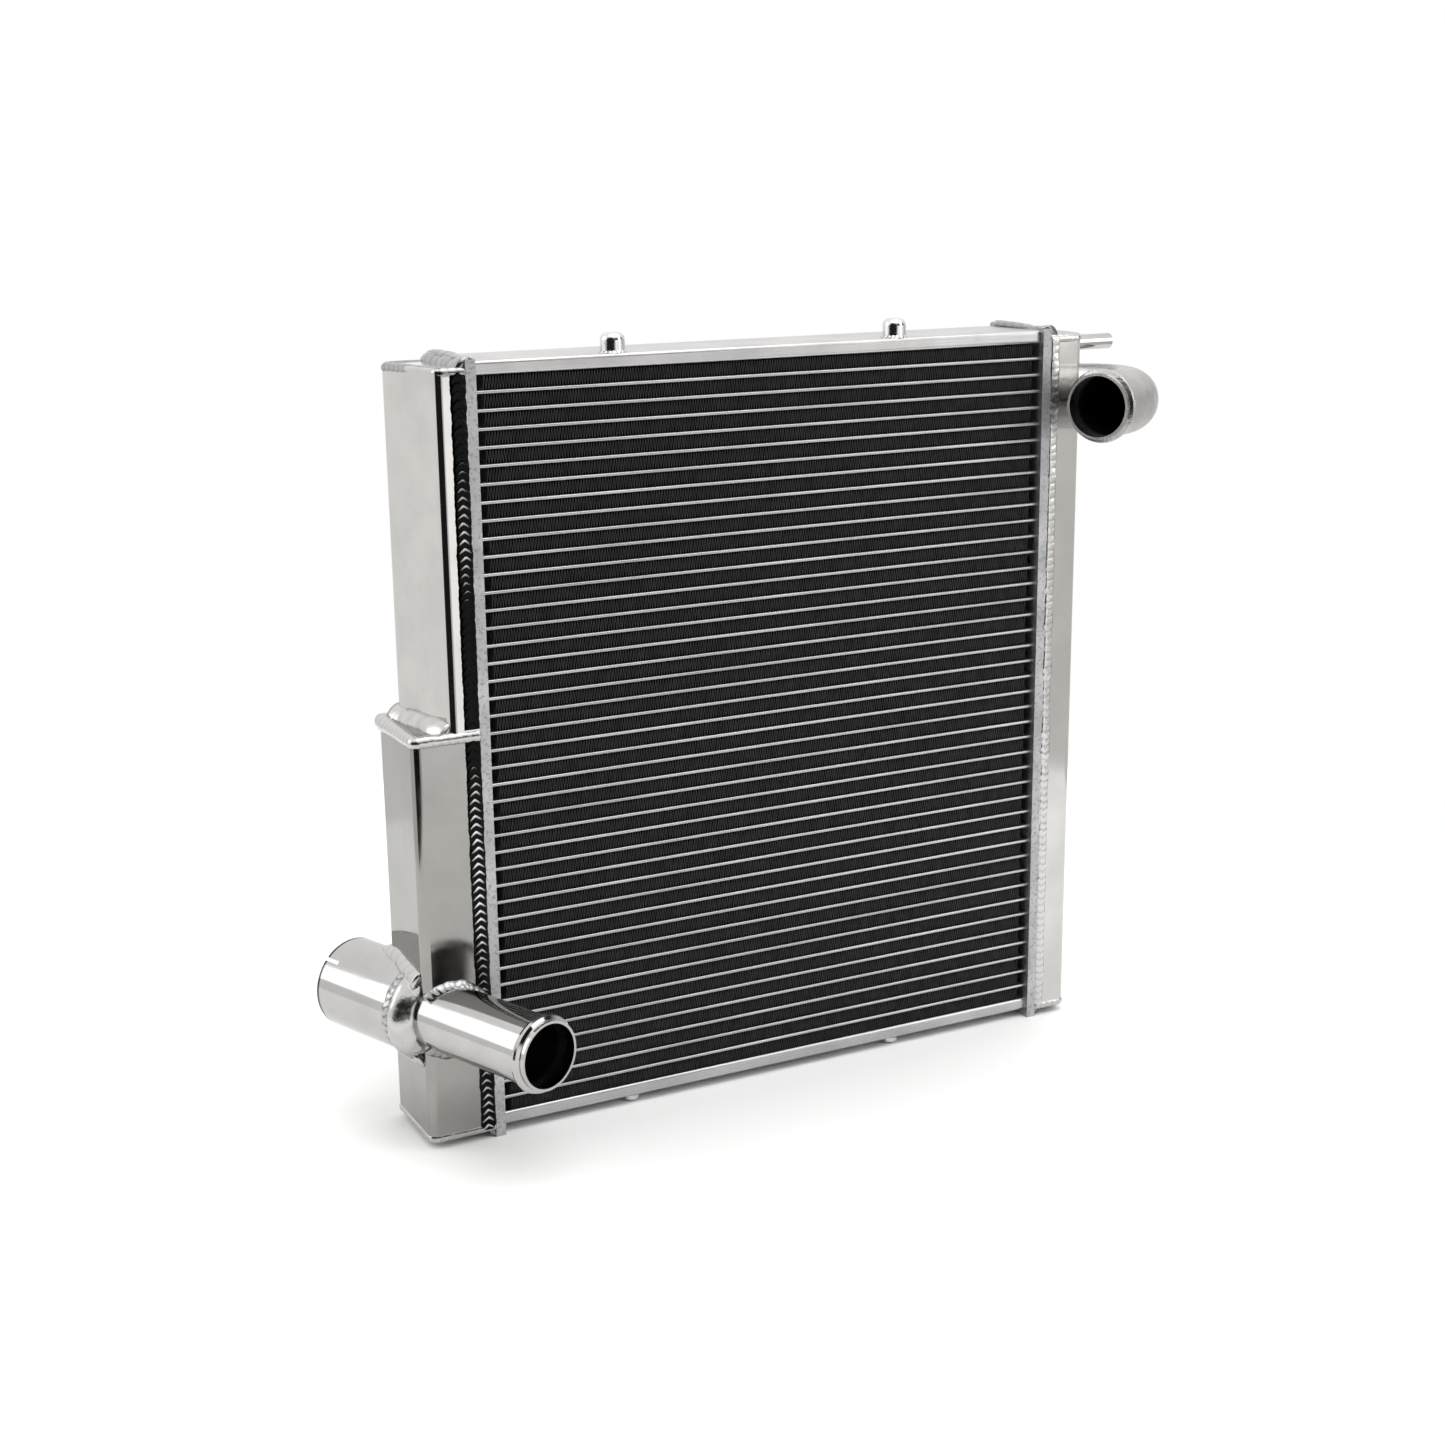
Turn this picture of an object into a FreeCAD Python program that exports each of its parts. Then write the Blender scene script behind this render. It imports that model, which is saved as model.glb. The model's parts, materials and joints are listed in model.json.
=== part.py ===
import FreeCAD, Part
import math
import os
import Sketcher
from FreeCAD import Vector

# Aluminium cross-flow car radiator with welded end tanks, in millimetres.
# +Z is up and the front faces -Y. The origin lies on the plane that the radiator stands on,
# midway between the axes of the two lower mounting pegs.

SIZES = [
    ("core_width", 370.0, "between the inner faces of the two header plates"),
    ("core_depth", 52.0, "flat tube, front edge to back edge"),
    ("tube_count", 42, "flat tubes, one above another"),
    ("tube_height", 2.0, "outside height of a flat tube"),
    ("tube_wall", 0.4, "wall of a flat tube"),
    ("tube_reach", 1.5, "how far a tube end stands inside the header"),
    ("braze_gap", 0.05, "brazed clearance round a tube in its slot"),
    ("fin_height", 8.0, "height of a fin row, from tube to tube"),
    ("fin_sheet", 0.4, "upright thickness of the folded fin strip"),
    ("fin_fold", 10.0, "length of one fold of a fin strip"),
    ("fin_setback", 1.0, "fin edge behind the tube edge, front and back"),
    ("fin_end_gap", 5.0, "bare tube between a fin row and a header"),
    ("side_plate_height", 8.0, "box section over and under the core"),
    ("side_plate_wall", 2.0, "wall of that box section"),
    ("side_plate_round", 2.0, "radius on its long edges"),
    ("header_depth", 58.0, "header plate and tanks, front to back"),
    ("header_sheet", 2.5, "header plate thickness"),
    ("header_lip", 3.5, "flange that stands out from the header plate"),
    ("header_foot", 5.0, "header below the bottom side plate"),
    ("header_head", 1.0, "header above the top side plate"),
    ("tank_wall", 3.0, "sheet of the tanks and of the header flanges"),
    ("tank_round", 5.0, "outside radius of an upright tank corner"),
    ("cap_round", 2.0, "outside edge of a tank cap, dressed round after welding"),
    ("tank_end_inset", 4.0, "tank end inside the header end, top and bottom"),
    ("left_top_front", 17.0, "width of the upper left tank at the front"),
    ("left_top_back", 29.5, "width of the upper left tank at the back"),
    ("left_box_width", 40.0, "width of the lower left tank"),
    ("left_box_height", 241.0, "lower left tank, its underside to the top of the step"),
    ("right_tank_width", 24.0, "width of the right tank"),
    ("hose_pipe_outer", 40.0, "outside diameter of inlet elbow and front outlet"),
    ("hose_pipe_wall", 1.5, "wall of those two pipes"),
    ("hose_bead", 2.5, "how far a rolled hose bead stands out"),
    ("hose_bead_setback", 5.5, "middle of the bead, back from the pipe's mouth"),
    ("weld_gap", 0.05, "clearance round a pipe in its tank hole"),
    ("outlet_height", 78.0, "axis of both outlets over the standing plane"),
    ("outlet_angle", 20.0, "outlet axis turned in from straight ahead, degrees"),
    ("outlet_inset", 17.0, "outlet axis from the left tank's outer face, at its front face"),
    ("front_outlet_length", 80.0, "tank front to front outlet's mouth, along the axis"),
    ("outlet_joint", 15.0, "tank front back to where the rear outlet starts"),
    ("outlet_overlap", 3.0, "front outlet's end inside the rear outlet's shoulder"),
    ("rear_outlet_length", 77.0, "rear outlet, shoulder to mouth"),
    ("rear_outlet_outer", 54.0, "outside diameter of the rear outlet"),
    ("rear_outlet_wall", 2.0, "wall of the rear outlet"),
    ("slit_width", 2.5, "clamp slit in the rear outlet's end"),
    ("slit_length", 11.0, "length of that slit"),
    ("slit_turn", 47.0, "degrees from level up to that slit, on the outer side"),
    ("shoulder_length", 8.0, "cone that closes the rear outlet round the front one"),
    ("elbow_height", 405.0, "elbow axis over the standing plane"),
    ("elbow_stub", 3.5, "straight pipe between tank and bend"),
    ("elbow_radius", 26.0, "centre-line radius of the bend"),
    ("elbow_turn", 153.0, "angle that the bend turns through, degrees"),
    ("elbow_leg", 34.0, "straight pipe from the bend to the mouth"),
    ("bleed_outer", 9.6, "outside diameter of the bleed pipe"),
    ("bleed_wall", 1.2, "wall of the bleed pipe"),
    ("bleed_length", 41.0, "bleed pipe outside the tank"),
    ("bleed_drop", 5.0, "bleed pipe's axis below the underside of the tank's cap"),
    ("top_peg_diameter", 14.0, "peg on the top side plate"),
    ("bottom_peg_diameter", 12.0, "peg under the bottom side plate"),
    ("top_peg_dome", 4.0, "radius that rounds an upper peg's free end"),
    ("bottom_peg_dome", 1.0, "radius that rounds a lower peg's free end"),
    ("top_peg_length", 11.0, "that peg's length"),
    ("bottom_peg_length", 4.5, "that peg's length"),
    ("peg_spacing", 184.0, "between the two pegs of a plate"),
    ("peg_offset", 7.0, "how far the pair stands left of the middle"),
    ("peg_setback", 9.0, "peg axis behind the side plate's front"),
]

doc = FreeCAD.newDocument("car_radiator")
sheet = doc.addObject("Spreadsheet::Sheet", "sizes")


class Size:
    """A length or angle that carries its number and its expression in the sheet."""

    def __init__(self, value, text):
        self.value = value
        self.text = text

    def join(self, sign, other, value):
        other_text = other.text if isinstance(other, Size) else str(other)
        return Size(value, "(%s %s %s)" % (self.text, sign, other_text))

    def __add__(self, other):
        return self.join("+", other, self.value + number(other))

    def __sub__(self, other):
        return self.join("-", other, self.value - number(other))

    def __mul__(self, other):
        return self.join("*", other, self.value * number(other))

    def __truediv__(self, other):
        return self.join("/", other, self.value / number(other))

    def __neg__(self):
        return self * -1


def number(item):
    return item.value if isinstance(item, Size) else item


def sine(angle):
    return Size(math.sin(math.radians(angle.value)), "sin(%s * 1 deg)" % angle.text)


def cosine(angle):
    return Size(math.cos(math.radians(angle.value)), "cos(%s * 1 deg)" % angle.text)


def fill_sheet():
    """Write the driving sizes to the sheet and return them by name."""
    sizes = {}
    for row, (name, value, note) in enumerate(SIZES, start=1):
        sheet.set("A%d" % row, name)
        sheet.set("B%d" % row, str(value))
        sheet.set("C%d" % row, note)
        sheet.setAlias("B%d" % row, name)
        sizes[name] = Size(value, "sizes." + name)
    doc.recompute()
    return sizes


S = fill_sheet()
ZERO = Size(0.0, "0")

# Levels and planes that several pieces share.
pitch = S["tube_height"] + S["fin_height"]
stack_height = pitch * S["tube_count"] + S["fin_height"]
bottom_plate_z = S["header_foot"]
stack_z = bottom_plate_z + S["side_plate_height"]
top_plate_z = stack_z + stack_height
header_height = top_plate_z + S["side_plate_height"] + S["header_head"]
header_x = S["core_width"] / 2
header_width = S["header_sheet"] + S["header_lip"]
rim_x = header_x + header_width
core_half = S["core_depth"] / 2
header_half = S["header_depth"] / 2
tank_z = S["tank_end_inset"]
tank_top = header_height - S["tank_end_inset"]
step_z = tank_z + S["left_box_height"]
left_wall_x = rim_x + S["left_box_width"]
right_wall_x = rim_x + S["right_tank_width"]
middle_x = S["peg_offset"]
middle_y = core_half - S["peg_setback"]

FACING = {"left": FreeCAD.Rotation(Vector(0, 0, 1), 180), "right": FreeCAD.Rotation()}
SIDE = {"left": -1, "right": 1}
NO_TURN = FreeCAD.Rotation()
NEARLY = 0.01


# ---- helpers ---------------------------------------------------------------------------------

def bind(item, prop, size):
    item.setExpression(prop, size.text)


def place(item, x, y, z, rotation=NO_TURN):
    """Stand an object at a point that is measured from the middle of the core."""
    point = (x + middle_x, y + middle_y, z)
    item.Placement = FreeCAD.Placement(Vector(*[size.value for size in point]), rotation)
    for axis, size in zip("xyz", point):
        bind(item, "Placement.Base." + axis, size)


def label(item, name):
    item.Label = name
    return item


def new_body(name):
    return doc.addObject("PartDesign::Body", name)


def new_sketch(body, role, name, offset=None):
    """A sketch on one of the body's own origin planes, lifted off it by offset."""
    sketch = body.newObject("Sketcher::SketchObject", name)
    plane = next(item for item in body.Origin.OriginFeatures if item.Role == role)
    sketch.AttachmentSupport = [(plane, "")]
    sketch.MapMode = "FlatFace"
    if offset is not None:
        sketch.AttachmentOffset = FreeCAD.Placement(Vector(0, 0, offset.value), NO_TURN)
        bind(sketch, "AttachmentOffset.Base.z", offset)
    return sketch


def dimension(sketch, kind, geometry, corner, size):
    """Hold one corner at a signed distance from the sketch's origin."""
    here, origin = (geometry, corner), (-1, 1)
    if size.value == 0:
        sketch.addConstraint(Sketcher.Constraint(kind, *origin, *here, 0.0))
        return
    ends = origin + here if size.value > 0 else here + origin
    length = size if size.value > 0 else -size
    index = sketch.addConstraint(Sketcher.Constraint(kind, *ends, length.value))
    bind(sketch, "Constraints[%d]" % index, length)


def outline(sketch, corners):
    """A closed polygon whose every corner is dimensioned from the sketch's origin."""
    points = [Vector(x.value, y.value, 0) for x, y in corners]
    lines = [
        sketch.addGeometry(Part.LineSegment(start, end))
        for start, end in zip(points, points[1:] + points[:1])
    ]
    for line, following in zip(lines, lines[1:] + lines[:1]):
        sketch.addConstraint(Sketcher.Constraint("Coincident", line, 2, following, 1))
    for line, (x, y) in zip(lines, corners):
        dimension(sketch, "DistanceX", line, 1, x)
        dimension(sketch, "DistanceY", line, 1, y)
    return lines


def rectangle(sketch, left, low, right, high):
    return outline(sketch, [(left, low), (right, low), (right, high), (left, high)])


def circle(sketch, radius, x=ZERO, y=ZERO):
    ring = sketch.addGeometry(Part.Circle(Vector(x.value, y.value, 0), Vector(0, 0, 1), radius.value))
    dimension(sketch, "DistanceX", ring, 3, x)
    dimension(sketch, "DistanceY", ring, 3, y)
    index = sketch.addConstraint(Sketcher.Constraint("Radius", ring, radius.value))
    bind(sketch, "Constraints[%d]" % index, radius)


def flat_slot(sketch, half_length, half_height):
    """A slot with round ends along the sketch's X axis, centred on its origin."""
    reach = half_length - half_height
    span, rise = reach.value, half_height.value
    top = sketch.addGeometry(Part.LineSegment(Vector(span, rise, 0), Vector(-span, rise, 0)))
    low = sketch.addGeometry(Part.LineSegment(Vector(-span, -rise, 0), Vector(span, -rise, 0)))
    across = Vector(0, 0, 1)
    left = sketch.addGeometry(Part.ArcOfCircle(
        Part.Circle(Vector(-span, 0, 0), across, rise), math.pi / 2, 3 * math.pi / 2))
    right = sketch.addGeometry(Part.ArcOfCircle(
        Part.Circle(Vector(span, 0, 0), across, rise), -math.pi / 2, math.pi / 2))
    for first, second in (((top, 2), (left, 1)), ((left, 2), (low, 1)),
                          ((low, 2), (right, 1)), ((right, 2), (top, 1))):
        sketch.addConstraint(Sketcher.Constraint("Tangent", *first, *second))
    sketch.addConstraint(Sketcher.Constraint("Horizontal", top))
    dimension(sketch, "DistanceX", left, 3, -reach)
    dimension(sketch, "DistanceY", left, 3, ZERO)
    dimension(sketch, "DistanceX", right, 3, reach)
    index = sketch.addConstraint(Sketcher.Constraint("Radius", left, rise))
    bind(sketch, "Constraints[%d]" % index, half_height)


def pad(body, sketch, length, name="Pad"):
    feature = body.newObject("PartDesign::Pad", name)
    feature.Profile = sketch
    feature.Length = length.value
    bind(feature, "Length", length)
    return feature


def pocket(body, sketch, depth=None, name="Pocket"):
    """Cut a sketch into the body, to a depth or right through, and check that it cuts."""
    doc.recompute()
    before = body.Shape.Volume
    feature = body.newObject("PartDesign::Pocket", name)
    feature.Profile = sketch
    if depth is None:
        feature.Type = "ThroughAll"
    else:
        feature.Length = depth.value
        bind(feature, "Length", depth)
    doc.recompute()
    assert body.Shape.Volume < before, name + " cuts nothing"
    return feature


def revolve(body, sketch, name="Revolution"):
    """Turn a sketch in the XZ plane once round the body's Z axis."""
    feature = body.newObject("PartDesign::Revolution", name)
    feature.Profile = sketch
    feature.ReferenceAxis = (sketch, ["V_Axis"])
    feature.Angle = 360.0
    return feature


def round_edges(body, feature, radius, wanted, name="Fillet"):
    """Round those edges of a feature whose middle and direction pass the test."""
    doc.recompute()
    names = []
    for index, edge in enumerate(feature.Shape.Edges, start=1):
        if len(edge.Vertexes) == 2 and edge.Curve.TypeId == "Part::GeomLine":
            first, last = edge.Vertexes[0].Point, edge.Vertexes[1].Point
            if wanted((first + last) / 2, (last - first).normalize()):
                names.append("Edge%d" % index)
    fillet = body.newObject("PartDesign::Fillet", name)
    fillet.Base = (feature, names)
    fillet.Radius = radius.value
    bind(fillet, "Radius", radius)
    return fillet


def cylinder(name, radius, length, x, y, z, rotation):
    item = doc.addObject("Part::Cylinder", name)
    item.Radius, item.Height = radius.value, length.value
    bind(item, "Radius", radius)
    bind(item, "Height", length)
    place(item, x, y, z, rotation)
    return item


def cut(name, base, tools):
    """Take the tools away from the base, leaving the named sub-part."""
    result = doc.addObject("Part::Cut", name)
    result.Base = base
    if len(tools) == 1:
        result.Tool = tools[0]
    else:
        joined = doc.addObject("Part::MultiFuse", name + "_tools")
        joined.Shapes = tools
        result.Tool = joined
    return label(result, name)


# ---- core: flat tubes, fin rows and side plates -----------------------------------------------

def make_tube(position):
    """One flat tube. Its ends pass through both header plates."""
    name = "tube_%02d" % (position + 1)
    body = new_body(name)
    length = S["core_width"] + (S["header_sheet"] + S["tube_reach"]) * 2
    sketch = new_sketch(body, "YZ_Plane", "section")
    flat_slot(sketch, core_half, S["tube_height"] / 2)
    flat_slot(sketch, core_half - S["tube_wall"], S["tube_height"] / 2 - S["tube_wall"])
    pad(body, sketch, length)
    middle_z = stack_z + S["fin_height"] + S["tube_height"] / 2 + pitch * position
    place(body, length / -2, ZERO, middle_z)
    return label(body, name)


def fin_strip(length, height, sheet_height, folds):
    """Outline of a zigzag strip: its upper edge out and its lower edge back."""
    step = length / (2 * folds)
    crest = (height - sheet_height) / 2
    middle = [(-length / 2 + step * i, crest if i % 2 else -crest) for i in range(2 * folds + 1)]
    upper = [Vector(x, 0, z + sheet_height / 2) for x, z in middle]
    lower = [Vector(x, 0, z - sheet_height / 2) for x, z in reversed(middle)]
    return upper + lower


def make_fins():
    """All fin rows: folded strips between the tubes and outside the first and last tube."""
    length = S["core_width"].value - 2 * S["fin_end_gap"].value
    depth = S["core_depth"].value - 2 * S["fin_setback"].value
    folds = max(1, round(length / S["fin_fold"].value))
    points = fin_strip(length, S["fin_height"].value, S["fin_sheet"].value, folds)
    face = Part.Face(Part.makePolygon(points + points[:1]))
    strip = face.extrude(Vector(0, depth, 0))
    rows = []
    for row in range(S["tube_count"].value + 1):
        level = stack_z.value + S["fin_height"].value / 2 + pitch.value * row
        moved = strip.copy()
        moved.translate(Vector(0, 0, level))
        rows.append(moved)
    fins = doc.addObject("Part::Feature", "air_fins")
    fins.Shape = Part.makeCompound(rows)
    fins.Placement = FreeCAD.Placement(Vector(middle_x.value, middle_y.value - depth / 2, 0), NO_TURN)
    return label(fins, "air_fins")


def make_side_plate(name, level):
    """A flat box section that closes the core at its top or bottom."""
    body = new_body(name)
    half, high, wall = core_half, S["side_plate_height"], S["side_plate_wall"]
    sketch = new_sketch(body, "YZ_Plane", "section")
    rectangle(sketch, -half, ZERO, half, high)
    rectangle(sketch, wall - half, wall, half - wall, high - wall)
    block = pad(body, sketch, S["core_width"])
    outer = half.value - wall.value / 2
    round_edges(body, block, S["side_plate_round"],
                lambda middle, run: abs(run.x) > 0.9 and abs(middle.y) > outer)
    place(body, -header_x, ZERO, level)
    return label(body, name)


# ---- header plates ------------------------------------------------------------------------------

def make_header(side):
    """A slotted plate with a flange at front and back and a bulkhead in line with each tank end.

    The plate lies in the local YZ plane and its flanges stand out along +X.
    """
    name = side + "_header"
    body = new_body(name)
    blank = new_sketch(body, "YZ_Plane", "blank")
    rectangle(blank, -header_half, ZERO, header_half, header_height)
    pad(body, blank, header_width)

    inner = header_half - S["tank_wall"]
    trough = new_sketch(body, "YZ_Plane", "trough", header_width)
    rectangle(trough, -inner, tank_z + S["tank_wall"], inner, tank_top - S["tank_wall"])
    pocket(body, trough, S["header_lip"], "Trough")
    ends = new_sketch(body, "YZ_Plane", "ends", header_width)
    rectangle(ends, -inner, ZERO, inner, tank_z)
    rectangle(ends, -inner, tank_top, inner, header_height)
    pocket(body, ends, S["header_lip"], "Ends")

    slot = new_sketch(body, "YZ_Plane", "slot", header_width)
    first_z = stack_z + S["fin_height"] + S["tube_height"] / 2
    slot.AttachmentOffset = FreeCAD.Placement(Vector(0, first_z.value, header_width.value), NO_TURN)
    bind(slot, "AttachmentOffset.Base.y", first_z)
    flat_slot(slot, core_half + S["braze_gap"], S["tube_height"] / 2 + S["braze_gap"])
    cutter = pocket(body, slot, None, "TubeSlot")
    pattern = body.newObject("PartDesign::LinearPattern", "TubeSlots")
    pattern.Originals = [cutter]
    pattern.Direction = (slot, ["V_Axis"])
    pattern.Length = pitch.value * (S["tube_count"].value - 1)
    bind(pattern, "Length", pitch * (S["tube_count"] - 1))
    pattern.Occurrences = S["tube_count"].value
    bind(pattern, "Occurrences", S["tube_count"])
    body.Tip = pattern
    place(body, header_x * SIDE[side], ZERO, ZERO, FACING[side])
    return label(body, name)


# ---- tanks --------------------------------------------------------------------------------------
# Each tank piece is drawn with the header's rim at local X = 0 and the tank going out along +X.
# The left tank is turned half round, so its front lies at local +Y.

def upright(middle, run):
    return abs(run.z) > 0.9 and middle.x > 0.5


def tank_corners(front, back):
    """The outer corners, from the rim at the front to the rim at the back."""
    return [(ZERO, header_half), (front, header_half), (back, -header_half), (ZERO, -header_half)]


def make_shell(name, side, front, back, low, high):
    """Front, outer and back wall of a tank, bent from one sheet."""
    body = new_body(name)
    wall = S["tank_wall"]
    slant = (back - front) / S["header_depth"]
    along = Size(math.hypot(1, slant.value), "sqrt(1 + %s ^ 2)" % slant.text)
    inner = header_half - wall
    shift = wall * along
    sketch = new_sketch(body, "XY_Plane", "section")
    inner_corners = [
        (ZERO, -inner), (back - slant * wall - shift, -inner),
        (front + slant * wall - shift, inner), (ZERO, inner),
    ]
    outline(sketch, tank_corners(front, back) + inner_corners)
    shell = pad(body, sketch, high - low)
    inside = wall.value * 0.5
    outer = round_edges(
        body, shell, S["tank_round"],
        lambda middle, run: upright(middle, run) and abs(middle.y) > inner.value + inside, "OuterBend")
    round_edges(
        body, outer, S["tank_round"] - wall,
        lambda middle, run: upright(middle, run) and abs(abs(middle.y) - inner.value) < NEARLY, "InnerBend")
    place(body, rim_x * SIDE[side], ZERO, low, FACING[side])
    return label(body, name)


def on_level(middle, level):
    return abs(middle.z - level.value) < NEARLY


def make_cap(name, side, front, back, low, rounded_level=None, opening=None):
    """A flat plate that closes a tank's end, with its outside edge rounded at a local level.

    The step is a plate with sharp edges and an opening to the tank above it.
    """
    body = new_body(name)
    sketch = new_sketch(body, "XY_Plane", "section")
    outline(sketch, tank_corners(front, back))
    plate = pad(body, sketch, S["tank_wall"])
    corners = round_edges(body, plate, S["tank_round"], upright, "Corners")
    if rounded_level is not None:
        round_edges(body, corners, S["cap_round"],
                    lambda middle, run: on_level(middle, rounded_level) and middle.x > NEARLY,
                    "OuterEdge")
    if opening is not None:
        inner = header_half - S["tank_wall"]
        hole = new_sketch(body, "XY_Plane", "opening", S["tank_wall"])
        rectangle(hole, ZERO, -inner, opening, inner)
        pocket(body, hole, None, "Opening")
    place(body, rim_x * SIDE[side], ZERO, low, FACING[side])
    return label(body, name)


# ---- pipes --------------------------------------------------------------------------------------
# A pipe is drawn with its mouth at the local origin and local +Z pointing out of the mouth.

def out_of_mouth(turn):
    """Turn local +Z to the level direction that lies at this angle from -Y towards +X."""
    level = FreeCAD.Rotation(Vector(0, 0, 1), turn)
    return level.multiply(FreeCAD.Rotation(Vector(1, 0, 0), 90))


def add_bead(body):
    """A rolled ring round the mouth that keeps the hose on."""
    pipe = S["hose_pipe_outer"] / 2
    root = pipe - S["hose_pipe_wall"] / 2
    bead = S["hose_bead"]
    middle = -S["hose_bead_setback"]
    sketch = new_sketch(body, "XZ_Plane", "bead")
    outline(sketch, [
        (root, middle - bead), (pipe, middle - bead), (pipe + bead * 0.8, middle - bead * 0.6),
        (pipe + bead, middle), (pipe + bead * 0.8, middle + bead * 0.6), (pipe, middle + bead),
        (root, middle + bead),
    ])
    return revolve(body, sketch, "Bead")


def make_tube_body(name, outer, wall, length):
    """A straight round tube that runs back from its mouth."""
    body = new_body(name + "_tube")
    sketch = new_sketch(body, "XZ_Plane", "wall")
    rectangle(sketch, outer - wall, -length, outer, ZERO)
    revolve(body, sketch, "Tube")
    return body


outlet_x = S["outlet_inset"] - left_wall_x
outlet_y = -header_half
outlet_sine, outlet_cosine = sine(S["outlet_angle"]), cosine(S["outlet_angle"])
front_turn = out_of_mouth(S["outlet_angle"].value)
rear_turn = out_of_mouth(S["outlet_angle"].value + 180)


def outlet_point(distance):
    """The point on the outlet axis this far ahead of the tank's front face."""
    return outlet_x + outlet_sine * distance, outlet_y - outlet_cosine * distance


def tank_cavity(name):
    """The hollow of the lower left tank, which no pipe wall crosses."""
    hollow = doc.addObject("Part::Box", name)
    across = S["left_box_width"] - S["tank_wall"] + header_width
    deep = S["header_depth"] - S["tank_wall"] * 2
    high = S["left_box_height"] - S["tank_wall"] * 2
    for prop, size in (("Length", across), ("Width", deep), ("Height", high)):
        setattr(hollow, prop, size.value)
        bind(hollow, prop, size)
    place(hollow, S["tank_wall"] - left_wall_x, deep / -2, tank_z + S["tank_wall"])
    return hollow


def make_front_outlet():
    name = "front_outlet_pipe"
    reach = S["front_outlet_length"] + S["outlet_joint"] + S["outlet_overlap"]
    body = make_tube_body(name, S["hose_pipe_outer"] / 2, S["hose_pipe_wall"], reach)
    add_bead(body)
    x, y = outlet_point(S["front_outlet_length"])
    place(body, x, y, S["outlet_height"], front_turn)
    return cut(name, body, [tank_cavity(name + "_cavity")])


def make_rear_outlet():
    """The larger outlet. A shoulder at its front end closes it round the front outlet."""
    name = "rear_outlet_pipe"
    outer = S["rear_outlet_outer"] / 2
    wall = S["rear_outlet_wall"]
    length = S["rear_outlet_length"]
    start = S["shoulder_length"] - length
    body = make_tube_body(name, outer, wall, -start)
    inner = S["hose_pipe_outer"] / 2 + S["weld_gap"]
    shoulder = new_sketch(body, "XZ_Plane", "shoulder")
    outline(shoulder, [(inner, -length), (inner + wall, -length), (outer, start),
                       (outer - wall, start), (inner, wall - length)])
    revolve(body, shoulder, "Shoulder")
    slit = new_sketch(body, "YZ_Plane", "slit", outer + wall)
    rectangle(slit, S["slit_width"] / -2, -S["slit_length"], S["slit_width"] / 2, wall)
    pocket(body, slit, outer, "Slit")
    x, y = outlet_point(-(S["outlet_joint"] + length))
    slit_up = FreeCAD.Rotation(Vector(0, 0, 1), S["slit_turn"].value)
    place(body, x, y, S["outlet_height"], rear_turn.multiply(slit_up))
    return cut(name, body, [tank_cavity(name + "_cavity")])


def outlet_holes():
    """Room in the tank's walls for both outlets."""
    joint = S["outlet_joint"]
    start_x, start_y = outlet_point(-joint)
    front = cylinder("front_outlet_hole", S["hose_pipe_outer"] / 2 + S["weld_gap"],
                     joint + S["front_outlet_length"], start_x, start_y, S["outlet_height"], front_turn)
    gap, height, cone_length = S["weld_gap"], S["outlet_height"], S["shoulder_length"]
    narrow = S["hose_pipe_outer"] / 2 + S["rear_outlet_wall"] + gap
    wide = S["rear_outlet_outer"] / 2 + gap
    shoulder = doc.addObject("Part::Cone", "shoulder_hole")
    for prop, size in (("Radius1", narrow), ("Radius2", wide), ("Height", cone_length)):
        setattr(shoulder, prop, size.value)
        bind(shoulder, prop, size)
    place(shoulder, start_x, start_y, height, rear_turn)
    rear_x, rear_y = outlet_point(-(joint + cone_length))
    rear = cylinder("rear_outlet_hole", wide, S["rear_outlet_length"] - cone_length,
                    rear_x, rear_y, height, rear_turn)
    return [front, shoulder, rear]


def make_elbow():
    """Inlet pipe: straight out of the right tank, round a bend and back to its mouth."""
    name = "inlet_elbow"
    body = new_body(name)
    outer, bore = S["hose_pipe_outer"] / 2, S["hose_pipe_outer"] / 2 - S["hose_pipe_wall"]
    radius, leg = S["elbow_radius"], S["elbow_leg"]
    turn = math.radians(S["elbow_turn"].value)
    stub = S["elbow_stub"] + S["tank_wall"]

    path = new_sketch(body, "XZ_Plane", "path")
    bend_end = Vector(-radius.value * (1 - math.cos(turn)), -leg.value - radius.value * math.sin(turn), 0)
    inward = Vector(-math.sin(turn), -math.cos(turn), 0)
    straight = path.addGeometry(Part.LineSegment(Vector(0, 0, 0), Vector(0, -leg.value, 0)))
    bend = path.addGeometry(Part.ArcOfCircle(
        Part.Circle(Vector(-radius.value, -leg.value, 0), Vector(0, 0, 1), radius.value), -turn, 0))
    entry = path.addGeometry(Part.LineSegment(bend_end, bend_end + inward * stub.value))
    dimension(path, "DistanceX", straight, 1, ZERO)
    dimension(path, "DistanceY", straight, 1, ZERO)
    dimension(path, "DistanceX", straight, 2, ZERO)
    dimension(path, "DistanceY", straight, 2, -leg)
    path.addConstraint(Sketcher.Constraint("Tangent", straight, 2, bend, 2))
    path.addConstraint(Sketcher.Constraint("Tangent", bend, 1, entry, 1))
    for kind, geometry, size in (("Radius", (bend,), radius), ("Distance", (entry,), stub)):
        index = path.addConstraint(Sketcher.Constraint(kind, *geometry, size.value))
        bind(path, "Constraints[%d]" % index, size)
    dimension(path, "DistanceY", bend, 1, -leg - radius * sine(S["elbow_turn"]))

    ring = new_sketch(body, "XY_Plane", "ring")
    circle(ring, outer)
    circle(ring, bore)
    sweep = body.newObject("PartDesign::AdditivePipe", "Bend")
    sweep.Profile = ring
    sweep.Spine = path
    add_bead(body)

    angle = S["elbow_turn"]
    x = right_wall_x + S["elbow_stub"] + radius * sine(angle) + leg * cosine(angle)
    y = radius * cosine(angle) - radius - leg * sine(angle)
    place(body, x, y, S["elbow_height"], out_of_mouth(90 - angle.value))
    return label(body, name)


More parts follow.
